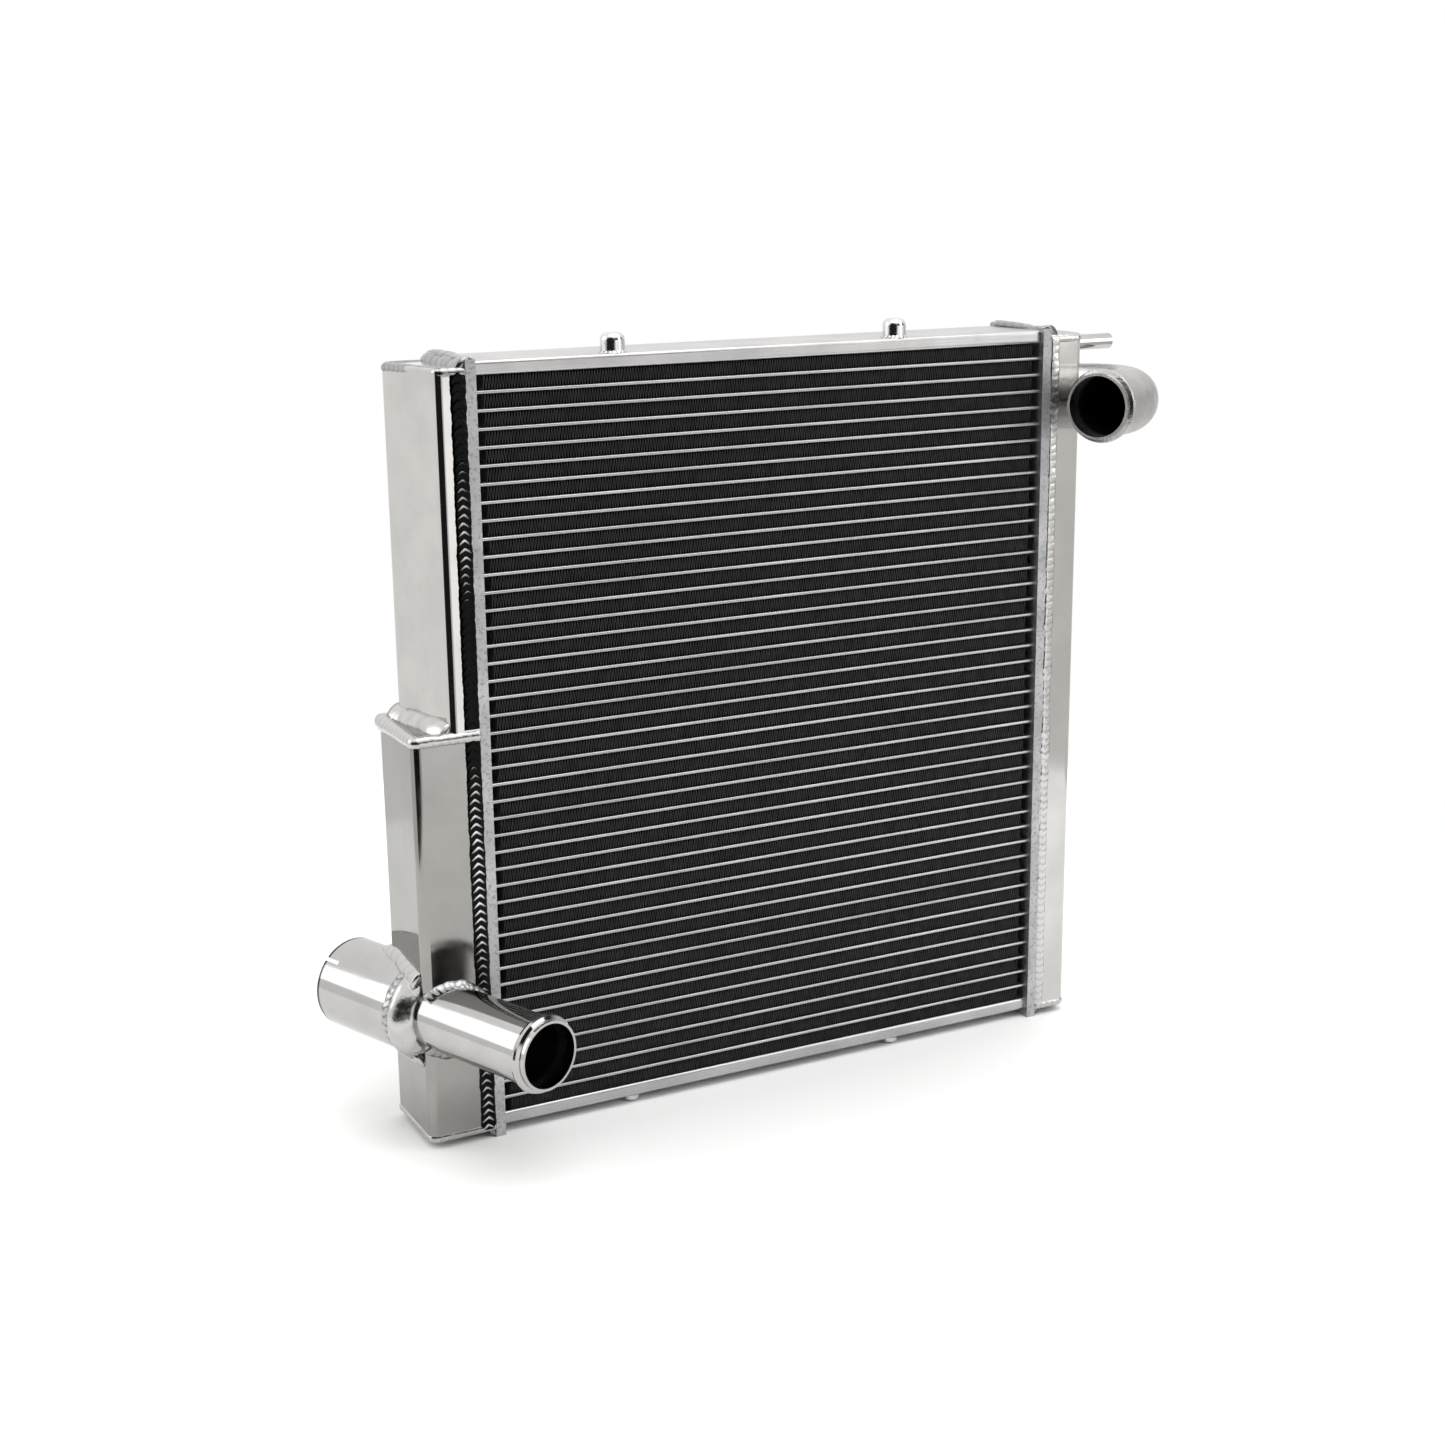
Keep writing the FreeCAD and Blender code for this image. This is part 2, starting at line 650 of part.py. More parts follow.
bleed_z = tank_top - S["tank_wall"] - S["bleed_drop"]
SIDEWAYS = FreeCAD.Rotation(Vector(0, 1, 0), 90)


def make_bleed_pipe():
    """Small hose pipe at the top of the right tank, for trapped air."""
    body = new_body("bleed_pipe")
    sketch = new_sketch(body, "XY_Plane", "ring")
    circle(sketch, S["bleed_outer"] / 2)
    circle(sketch, S["bleed_outer"] / 2 - S["bleed_wall"])
    pad(body, sketch, S["tank_wall"] + S["bleed_length"])
    place(body, right_wall_x - S["tank_wall"], ZERO, bleed_z, SIDEWAYS)
    return label(body, "bleed_pipe")


def right_tank_holes():
    """Round holes in the right tank's outer wall for the elbow and the bleed pipe."""
    inside = right_wall_x - S["tank_wall"] * 2
    through = S["tank_wall"] * 3
    elbow = cylinder("elbow_hole", S["hose_pipe_outer"] / 2 + S["weld_gap"], through,
                     inside, ZERO, S["elbow_height"], SIDEWAYS)
    bleed = cylinder("bleed_hole", S["bleed_outer"] / 2 + S["weld_gap"], through,
                     inside, ZERO, bleed_z, SIDEWAYS)
    return [elbow, bleed]


# ---- mounting pegs ------------------------------------------------------------------------------

def make_peg(name, diameter, length, dome, side_of_middle, level, rotation):
    """A round peg with a rounded free end."""
    body = new_body(name)
    sketch = new_sketch(body, "XY_Plane", "disc")
    circle(sketch, diameter / 2)
    shaft = pad(body, sketch, length)
    doc.recompute()
    rim = next("Edge%d" % index for index, edge in enumerate(shaft.Shape.Edges, start=1)
               if edge.Curve.TypeId == "Part::GeomCircle" and edge.CenterOfMass.z > length.value / 2)
    fillet = body.newObject("PartDesign::Fillet", "Dome")
    fillet.Base = (shaft, [rim])
    fillet.Radius = dome.value
    bind(fillet, "Radius", dome)
    place(body, S["peg_spacing"] * (side_of_middle / 2) - S["peg_offset"],
          S["peg_setback"] - core_half, level, rotation)
    return body


def make_pegs():
    """Two pegs on the top side plate and two shorter ones under the bottom side plate."""
    upside_down = FreeCAD.Rotation(Vector(1, 0, 0), 180)
    top = top_plate_z + S["side_plate_height"]
    pegs = []
    for side_of_middle, word in ((-1, "left"), (1, "right")):
        pegs.append(make_peg("top_peg_" + word, S["top_peg_diameter"], S["top_peg_length"],
                             S["top_peg_dome"], side_of_middle, top, NO_TURN))
        pegs.append(make_peg("bottom_peg_" + word, S["bottom_peg_diameter"], S["bottom_peg_length"],
                             S["bottom_peg_dome"], side_of_middle, bottom_plate_z, upside_down))
    group = doc.addObject("Part::Compound", "mounting_pegs")
    group.Links = pegs
    return label(group, "mounting_pegs")


# ---- assembly -----------------------------------------------------------------------------------

def build():
    wall = S["tank_wall"]
    top_front, top_back, box = S["left_top_front"], S["left_top_back"], S["left_box_width"]
    right = S["right_tank_width"]
    cap_z = tank_top - wall
    opening = top_front - wall * 1.5
    parts = [make_tube(position) for position in range(S["tube_count"].value)]
    parts += [
        make_fins(),
        make_side_plate("bottom_side_plate", bottom_plate_z),
        make_side_plate("top_side_plate", top_plate_z),
        make_header("left"),
        make_header("right"),
        make_shell("left_tank_upper_shell", "left", top_front, top_back, step_z, cap_z),
        make_cap("left_tank_top_cap", "left", top_front, top_back, cap_z, wall),
        make_cap("left_tank_step_cap", "left", box, box, step_z - wall, opening=opening),
        make_cap("left_tank_bottom_cap", "left", box, box, tank_z, ZERO),
        make_cap("right_tank_top_cap", "right", right, right, cap_z, wall),
        make_cap("right_tank_bottom_cap", "right", right, right, tank_z, ZERO),
        make_front_outlet(),
        make_rear_outlet(),
        make_elbow(),
        make_bleed_pipe(),
        make_pegs(),
    ]
    lower = make_shell("lower_shell_blank", "left", box, box, tank_z + wall, step_z - wall)
    parts.append(cut("left_tank_lower_shell", lower, outlet_holes()))
    blank = make_shell("right_shell_blank", "right", right, right, tank_z + wall, cap_z)
    parts.append(cut("right_tank_shell", blank, right_tank_holes()))
    return parts


def check_and_export(parts):
    """Stop on any failed object or bad shape, then write one STEP file for each sub-part."""
    doc.recompute()
    failed = [item.Name for item in doc.Objects if {"Invalid", "Error"} & set(item.State)]
    assert not failed, "failed objects: %s" % failed
    for item in parts:
        assert not item.Shape.isNull() and item.Shape.isValid(), item.Label + " has a bad shape"
    os.makedirs("parts", exist_ok=True)
    for item in parts:
        item.Shape.exportStep(os.path.join("parts", item.Label + ".step"))
        print("%-24s %2d solids %10.0f mm3" % (item.Label, len(item.Shape.Solids), item.Shape.Volume))


check_and_export(build())
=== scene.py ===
import json
import math
import random

import bmesh
import bpy
from mathutils import Matrix, Vector


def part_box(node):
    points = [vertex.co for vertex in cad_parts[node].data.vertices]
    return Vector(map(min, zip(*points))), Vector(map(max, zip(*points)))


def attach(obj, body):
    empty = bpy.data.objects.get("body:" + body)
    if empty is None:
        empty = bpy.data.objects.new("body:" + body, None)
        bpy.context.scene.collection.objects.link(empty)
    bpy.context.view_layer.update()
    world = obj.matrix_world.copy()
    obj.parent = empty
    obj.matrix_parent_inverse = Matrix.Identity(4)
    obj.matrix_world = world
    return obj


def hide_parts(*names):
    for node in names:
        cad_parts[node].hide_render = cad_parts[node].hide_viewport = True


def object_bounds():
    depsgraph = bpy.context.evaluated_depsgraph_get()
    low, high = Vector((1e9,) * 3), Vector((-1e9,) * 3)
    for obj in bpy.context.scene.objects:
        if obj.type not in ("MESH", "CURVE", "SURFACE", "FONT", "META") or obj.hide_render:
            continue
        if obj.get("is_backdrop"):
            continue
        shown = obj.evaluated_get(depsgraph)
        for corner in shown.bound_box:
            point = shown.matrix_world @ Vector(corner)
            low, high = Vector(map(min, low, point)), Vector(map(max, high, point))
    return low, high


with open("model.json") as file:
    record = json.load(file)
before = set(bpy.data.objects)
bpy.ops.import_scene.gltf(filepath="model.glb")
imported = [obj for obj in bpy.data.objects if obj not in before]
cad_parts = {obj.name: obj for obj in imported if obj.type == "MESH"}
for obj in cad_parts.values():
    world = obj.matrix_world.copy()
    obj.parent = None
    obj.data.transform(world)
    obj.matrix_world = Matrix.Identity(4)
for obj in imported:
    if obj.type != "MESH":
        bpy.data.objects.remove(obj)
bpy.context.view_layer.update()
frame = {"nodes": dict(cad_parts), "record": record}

nodes = frame["nodes"]
mounts = {mount["name"]: mount for mount in frame["record"]["mounts"]}


# ---- Flat tubes ---------------------------------------------------------------------------
# Forty-two flat tubes of rolled and seam-welded aluminium carry the coolant across the core.
# They are bare metal, with lighter and darker streaks running along them.

def start_metal(name, color, roughness, metallic=1.0):
    """A metal with its even values set on the shader itself. Returns it with its node tree."""
    material = bpy.data.materials.new(name)
    material.use_nodes = True
    shader = material.node_tree.nodes["Principled BSDF"]
    shader.inputs["Base Color"].default_value = (*color, 1.0)
    shader.inputs["Roughness"].default_value = roughness
    shader.inputs["Metallic"].default_value = metallic
    return material, material.node_tree, shader


def pattern(tree, scale, stretch=(1, 1, 1), detail=3.0):
    """Cloudy noise in the piece's own space. A small stretch value draws it out along that axis."""
    place = tree.nodes.new("ShaderNodeTexCoord")
    mapping = tree.nodes.new("ShaderNodeMapping")
    mapping.inputs["Scale"].default_value = stretch
    noise = tree.nodes.new("ShaderNodeTexNoise")
    noise.inputs["Scale"].default_value = scale
    noise.inputs["Detail"].default_value = detail
    tree.links.new(place.outputs["Object"], mapping.inputs["Vector"])
    tree.links.new(mapping.outputs["Vector"], noise.inputs["Vector"])
    return noise.outputs["Fac"]


def spread(tree, source, low, high, start=0.3, end=0.7):
    """Turn a 0 to 1 pattern into a value between low and high."""
    node = tree.nodes.new("ShaderNodeMapRange")
    node.inputs["From Min"].default_value = start
    node.inputs["From Max"].default_value = end
    node.inputs["To Min"].default_value = low
    node.inputs["To Max"].default_value = high
    tree.links.new(source, node.inputs["Value"])
    return node.outputs["Result"]


def blend_colors(tree, factor, first, second):
    """Mix two colours, or two colour outputs, by a factor output."""
    node = tree.nodes.new("ShaderNodeMix")
    node.data_type = "RGBA"
    tree.links.new(factor, node.inputs["Factor"])
    for socket, color in (("A", first), ("B", second)):
        target = next(item for item in node.inputs if item.name == socket and item.type == "RGBA")
        if isinstance(color, bpy.types.NodeSocket):
            tree.links.new(color, target)
        else:
            target.default_value = (*color, 1.0)
    return next(item for item in node.outputs if item.type == "RGBA")


def add_bump(tree, shader, height, distance, strength=1.0):
    """Raise the surface by a height pattern, on top of any bump that is there already."""
    node = tree.nodes.new("ShaderNodeBump")
    node.inputs["Distance"].default_value = distance
    node.inputs["Strength"].default_value = strength
    tree.links.new(height, node.inputs["Height"])
    below = shader.inputs["Normal"]
    if below.is_linked:
        tree.links.new(below.links[0].from_socket, node.inputs["Normal"])
    tree.links.new(node.outputs["Normal"], below)


def dress(node_name, material):
    """Give a CAD piece its finish."""
    for slot in nodes[node_name].material_slots:
        slot.material = material


def tube_aluminium():
    material, tree, shader = start_metal("tube aluminium", (0.46, 0.46, 0.46), 0.3)
    rolled = pattern(tree, 900, (0.03, 1, 1))
    tone = pattern(tree, 60, (0.2, 1, 1))
    tree.links.new(spread(tree, rolled, 0.24, 0.42), shader.inputs["Roughness"])
    color = blend_colors(tree, spread(tree, tone, 0, 1), (0.46, 0.46, 0.455), (0.32, 0.325, 0.33))
    tree.links.new(color, shader.inputs["Base Color"])
    add_bump(tree, shader, rolled, 0.00004)
    return material


tube_names = sorted(name for name in nodes if name.startswith("tube_"))
tube_finish = tube_aluminium()
for name in tube_names:
    dress(name, tube_finish)


# ---- Air fins -----------------------------------------------------------------------------
# Between the tubes run strips of thin aluminium folded in a zigzag, brazed to the tubes at each
# fold. The front and back of the core are sprayed matt black before the tanks go on.

FOLD = 0.00167
FIN_SHEET = 0.00026
ROW_SHIFT = 0.0004


def fin_black():
    material, tree, shader = start_metal("fin black", (0.014, 0.014, 0.015), 0.62, metallic=0.0)
    dust = pattern(tree, 140)
    spray = pattern(tree, 2600)
    color = blend_colors(
        tree, spread(tree, dust, 0, 1), (0.011, 0.011, 0.012), (0.034, 0.034, 0.036))
    tree.links.new(color, shader.inputs["Base Color"])
    tree.links.new(spread(tree, spray, 0.5, 0.78), shader.inputs["Roughness"])
    add_bump(tree, shader, spray, 0.00003)
    return material


def finish_piece(name, bm, material, smooth=False):
    """Make a bmesh into a piece that rides with the radiator."""
    mesh = bpy.data.meshes.new(name)
    bm.to_mesh(mesh)
    bm.free()
    mesh.materials.append(material)
    if smooth:
        mesh.shade_smooth()
    piece = bpy.data.objects.new(name, mesh)
    bpy.context.scene.collection.objects.link(piece)
    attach(piece, "root")
    return piece


def fold_strip(length, depth, height):
    """One zigzag strip, with its sheet thickness, centred on the origin."""
    half_folds = 2 * round(length / FOLD)
    bm = bmesh.new()
    bmesh.ops.create_grid(bm, x_segments=half_folds, y_segments=1, size=0.5)
    bmesh.ops.scale(bm, vec=(length - FIN_SHEET, depth, 1), verts=bm.verts)
    for vert in bm.verts:
        count = round((vert.co.x / (length - FIN_SHEET) + 0.5) * half_folds)
        vert.co.z = height / 2 if count % 2 else -height / 2
    sheet = bmesh.ops.extrude_face_region(bm, geom=bm.faces[:], use_keep_orig=True)
    added = [item for item in sheet["geom"] if isinstance(item, bmesh.types.BMVert)]
    bmesh.ops.translate(bm, vec=(FIN_SHEET, 0, 0), verts=added)
    bmesh.ops.translate(bm, vec=(-FIN_SHEET / 2, 0, 0), verts=bm.verts)
    bmesh.ops.recalc_face_normals(bm, faces=bm.faces)
    return bm


def stack_fins():
    low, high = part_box("air_fins")
    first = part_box(tube_names[0])
    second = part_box(tube_names[1])
    pitch = second[0].z - first[0].z
    height = first[0].z - low.z
    middle = (low + high) / 2
    bm = fold_strip(high.x - low.x - 2 * ROW_SHIFT, high.y - low.y, height)
    strip = bm.verts[:] + bm.edges[:] + bm.faces[:]
    chance = random.Random(7)
    rows = len(tube_names) + 1
    for row in range(rows - 1):
        copy = bmesh.ops.duplicate(bm, geom=strip)
        verts = [item for item in copy["geom"] if isinstance(item, bmesh.types.BMVert)]
        slide = chance.uniform(-ROW_SHIFT, ROW_SHIFT)
        bmesh.ops.translate(bm, vec=(slide, 0, pitch * (row + 1)), verts=verts)
    bmesh.ops.translate(bm, vec=(middle.x, middle.y, low.z + height / 2), verts=bm.verts)
    fins = finish_piece("folded_air_fins", bm, fin_black())
    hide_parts("air_fins")


stack_fins()


# ---- Side plates --------------------------------------------------------------------------
# A flat box section of extruded aluminium closes the core at its top and at its bottom.
# It is left satin, with the fine lines of the extrusion running along it.

def satin_aluminium():
    material, tree, shader = start_metal("satin aluminium", (0.62, 0.61, 0.61), 0.3)
    lines = pattern(tree, 1500, (0.01, 1, 1))
    handling = pattern(tree, 35)
    tree.links.new(spread(tree, lines, 0.22, 0.38), shader.inputs["Roughness"])
    color = blend_colors(
        tree, spread(tree, handling, 0, 1), (0.53, 0.518, 0.518), (0.43, 0.426, 0.426))
    tree.links.new(color, shader.inputs["Base Color"])
    add_bump(tree, shader, lines, 0.00003)
    return material


side_plate_finish = satin_aluminium()
dress("top_side_plate", side_plate_finish)
dress("bottom_side_plate", side_plate_finish)


# ---- Header plates ------------------------------------------------------------------------
# Each header is a slotted aluminium plate with a flange all along its front and back edge.
# It keeps the dull grey skin that the brazing furnace leaves, with darker clouds and specks.

def header_aluminium():
    material, tree, shader = start_metal("header aluminium", (0.48, 0.48, 0.485), 0.5)
    cloud = pattern(tree, 45)
    grit = pattern(tree, 1400)
    specks = pattern(tree, 520)
    color = blend_colors(tree, spread(tree, cloud, 0, 1), (0.56, 0.56, 0.565), (0.4, 0.4, 0.41))
    color = blend_colors(tree, spread(tree, specks, 0, 0.7, 0.52, 0.64), color, (0.27, 0.27, 0.28))
    tree.links.new(color, shader.inputs["Base Color"])
    tree.links.new(spread(tree, grit, 0.42, 0.62), shader.inputs["Roughness"])
    add_bump(tree, shader, grit, 0.00006)
    add_bump(tree, shader, cloud, 0.0003)
    return material


header_finish = header_aluminium()
dress("left_header", header_finish)
dress("right_header", header_finish)


# ---- End tanks ----------------------------------------------------------------------------
# The tanks are bent and capped from 3 mm aluminium sheet, welded together and then polished.
# The sheet mirrors its surroundings softly, with slight waves and fine polishing lines.

def polish(name, color, worn, line_stretch):
    """Polished sheet: soft waves, fine lines one way and dull patches where it was handled."""
    material, tree, shader = start_metal(name, color, 0.08)
    waves = pattern(tree, 11, detail=1.0)
    lines = pattern(tree, 1100, line_stretch)
    patches = pattern(tree, 38)
    tree.links.new(spread(tree, patches, 0.05, 0.15), shader.inputs["Roughness"])
    tint = blend_colors(tree, spread(tree, patches, 0, 1, 0.35, 0.8), color, worn)
    tree.links.new(tint, shader.inputs["Base Color"])
    add_bump(tree, shader, waves, 0.0006)
    add_bump(tree, shader, lines, 0.000008)
    return material, tree, shader


tank_finish = polish("polished tank", (0.56, 0.545, 0.53), (0.47, 0.462, 0.452), (1, 1, 0.03))[0]
# The lower box and its step cap are the same polished sheet as the rest of the tank, given a darker
# colour: painted shade that dims what they reflect.
box_shaded_finish = polish("polished box painted shade", (0.3, 0.291, 0.277), (0.26, 0.253, 0.243), (1, 1, 0.03))[0]
for name in nodes:
    if name in ("left_tank_lower_shell", "left_tank_step_cap"):
        dress(name, box_shaded_finish)
    elif "_tank_" in name:
        dress(name, tank_finish)


# ---- Inlet elbow and outlet pipes ---------------------------------------------------------
# The hose pipes are aluminium tube, bent and beaded, and polished with the tanks. Their bores
# stay raw and rougher, and their dark inside is painted shade that deepens away from the mouth.

# Painted shade in the bores: its colour, how far past the bore's radius it reaches, and the depths
# inside the mouth where it starts and where it is full.
BORE_SHADE_COLOR = (0.02, 0.019, 0.017)
BORE_MARGIN = 0.0004
BORE_SHADE_START = 0.003
BORE_SHADE_FULL = 0.014
BEND_RADIUS = 0.026


def dot(tree, first, second):
    node = tree.nodes.new("ShaderNodeVectorMath")
    node.operation = "DOT_PRODUCT"
    tree.links.new(first, node.inputs[0])
    if isinstance(second, bpy.types.NodeSocket):
        tree.links.new(second, node.inputs[1])
    else:
        node.inputs[1].default_value = second
    return node.outputs["Value"]


def calculate(tree, operation, first, second=None):
    node = tree.nodes.new("ShaderNodeMath")
    node.operation = operation
    for socket, item in zip(node.inputs, (first, second)):
        if isinstance(item, bpy.types.NodeSocket):
            tree.links.new(item, socket)
        elif item is not None:
            socket.default_value = item
    return node.outputs["Value"]


def squared(tree, value):
    return calculate(tree, "POWER", value, 2.0)


def offset_from(tree, point):
    """The vector from a fixed point to the shaded one."""
    place = tree.nodes.new("ShaderNodeTexCoord")
    node = tree.nodes.new("ShaderNodeVectorMath")
    node.operation = "SUBTRACT"
    node.inputs[1].default_value = point
    tree.links.new(place.outputs["Object"], node.inputs[0])
    return node.outputs["Vector"]


def inside_straight(tree, mouth, axis, radius):
    """1 within a radius of a straight axis, and the distance ahead of its mouth."""
    offset = offset_from(tree, mouth)
    ahead = dot(tree, offset, axis)
    square = calculate(tree, "SUBTRACT", dot(tree, offset, offset), squared(tree, ahead))
    return calculate(tree, "LESS_THAN", square, radius ** 2), ahead


def inside_bend(tree, center, bend_radius, radius):
    """1 within a radius of a level circle, the centre line of a bend."""
    offset = offset_from(tree, center)
    rise = dot(tree, offset, (0, 0, 1))
    level = calculate(tree, "SUBTRACT", dot(tree, offset, offset), squared(tree, rise))
    out = calculate(tree, "SUBTRACT", calculate(tree, "SQRT", level), bend_radius)
    square = calculate(tree, "ADD", squared(tree, out), squared(tree, rise))
    return calculate(tree, "LESS_THAN", square, radius ** 2)


def paint_bore_shade(tree, shader, mask):
    """Painted shade on raw, rougher metal where the mask is 1."""
    color = shader.inputs["Base Color"]
    tree.links.new(blend_colors(tree, mask, color.links[0].from_socket, BORE_SHADE_COLOR), color)
    rough = shader.inputs["Roughness"]
    polished = rough.links[0].from_socket
    raw = calculate(tree, "MULTIPLY", mask, 0.4)
    tree.links.new(calculate(tree, "ADD", polished, raw), rough)


def mottle(tree, shader):
    """Dull the polish of a ground casting with cloudy dark patches and a pebbled skin."""
    clouds = pattern(tree, 70, detail=6.0)
    pebbles = pattern(tree, 420)
    color = shader.inputs["Base Color"]
    shade = spread(tree, clouds, 0, 1, 0.38, 0.72)
    dulled = blend_colors(tree, shade, color.links[0].from_socket, (0.36, 0.352, 0.36))
    tree.links.new(dulled, color)
    tree.links.new(spread(tree, clouds, 0.2, 0.42), shader.inputs["Roughness"])
    add_bump(tree, shader, pebbles, 0.0003)


def cut_edge(tree, shader, ahead):
    """The sawn end of a plain pipe, its colour turned dark over the last millimetre or two up to
    its rim.
    """
    color = shader.inputs["Base Color"]
    sawn = spread(tree, ahead, 0, 1, -0.0022, -0.0012)
    tree.links.new(blend_colors(tree, sawn, color.links[0].from_socket, (0.05, 0.05, 0.05)), color)


def pipe_finish(mount_name, bend=None, sawn=False):
    """Polished tube with painted shade in its bore, found from the mount at the pipe's mouth."""
    mount = mounts[mount_name]
    material, tree, shader = polish(
        "polished " + mount_name, (0.46, 0.45, 0.44), (0.39, 0.384, 0.378), (1, 1, 0.2))
    if bend:
        mottle(tree, shader)
    mouth, axis = Vector(mount["pos_m"]), Vector(mount["axis"]).normalized()
    radius = mount["dims"]["r_mm"] / 1000 + BORE_MARGIN
    mask, ahead = inside_straight(tree, mouth, axis, radius)
    if sawn:
        cut_edge(tree, shader, ahead)
    # The bore's painted shade starts a few millimetres inside the mouth and is full deeper in.
    mask = calculate(tree, "MULTIPLY", mask, spread(tree, ahead, 1, 0, -BORE_SHADE_FULL, -BORE_SHADE_START))
    if bend:
        leg = mount["dims"]["length_mm"] / 1000
        inward = Vector((axis.y, -axis.x, 0))
        center = mouth - axis * leg + inward * bend
        straight = calculate(tree, "GREATER_THAN", ahead, -leg)
        turned = calculate(tree, "SUBTRACT", 1.0, straight)
        in_bend = inside_bend(tree, center, bend, radius)
        mask = calculate(tree, "ADD", calculate(tree, "MULTIPLY", mask, straight),
                         calculate(tree, "MULTIPLY", in_bend, turned))
    paint_bore_shade(tree, shader, mask)
    return material


dress("front_outlet_pipe", pipe_finish("front_outlet_mouth"))
dress("rear_outlet_pipe", pipe_finish("rear_outlet_mouth", sawn=True))
dress("inlet_elbow", pipe_finish("inlet_mouth", BEND_RADIUS))
dress("bleed_pipe", pipe_finish("bleed_mouth"))


# ---- Mounting pegs ------------------------------------------------------------------------
# Four round pegs are turned from aluminium bar and welded to the side plates, two above and two
# below. Rubber bushes in the car's body take them, so they are smooth.

def turned_aluminium():
    material, tree, shader = start_metal("turned aluminium", (0.66, 0.66, 0.66), 0.14)
    rings = pattern(tree, 2500, (0.02, 0.02, 1))
    tree.links.new(spread(tree, rings, 0.1, 0.2), shader.inputs["Roughness"])
    handling = spread(tree, pattern(tree, 120), 0, 1)
    color = blend_colors(tree, handling, (0.7, 0.7, 0.7), (0.58, 0.58, 0.59))
    tree.links.new(color, shader.inputs["Base Color"])
    add_bump(tree, shader, rings, 0.00002)
    return material


dress("mounting_pegs", turned_aluminium())


# ---- Weld beads ---------------------------------------------------------------------------
# The tanks, caps, pipes and pegs are joined by hand with a filler rod, so each bead is a row of
# overlapping puddles. Grooves between puddles are painted dark and crests painted bright:
# painted shade and painted highlight.

ACROSS = 12
STEPS_PER_PUDDLE = 6
UNDERSIDE = 0.0006
CREST_AT = 0.75


def weld_metal(name, groove_shade, crest_highlight, start, end):
    """Bead metal that reads how high the puddle stands from the mesh's own attribute: painted shade
    low, painted highlight high.
    """
    material, tree, shader = start_metal(name, crest_highlight, 0.2)
    height = tree.nodes.new("ShaderNodeAttribute")
    height.attribute_name = "crest_highlight"
    level = spread(tree, height.outputs["Fac"], 0, 1, start, end)
    tree.links.new(blend_colors(tree, level, groove_shade, crest_highlight), shader.inputs["Base Color"])
    soot = pattern(tree, 300)
    tree.links.new(spread(tree, soot, 0.14, 0.3), shader.inputs["Roughness"])
    add_bump(tree, shader, soot, 0.0002)
    return material


def measure(points, closed):
    """Running lengths of a line of points, with the first point again at the end of a loop."""
    line = [Vector(point) for point in points]
    if closed:
        line.append(line[0].copy())
    lengths = [0.0]
    for start, end in zip(line, line[1:]):
        lengths.append(lengths[-1] + (end - start).length)
    return line, lengths


def at_length(values, lengths, distance):
    """The value at a distance along the line, mixed from its two neighbours."""
    index = 0
    while index < len(lengths) - 2 and lengths[index + 1] < distance:
        index += 1
    gap = lengths[index + 1] - lengths[index]
    share = min(max((distance - lengths[index]) / gap, 0), 1) if gap else 0
    return values[index].lerp(values[index + 1], share)


def at_share(factors, share):
    """A factor read evenly along a list, from its first item at 0 to its last at 1."""
    place = min(max(share, 0), 1) * (len(factors) - 1)
    index = min(int(place), len(factors) - 2)
    return factors[index] + (factors[index + 1] - factors[index]) * (place - index)


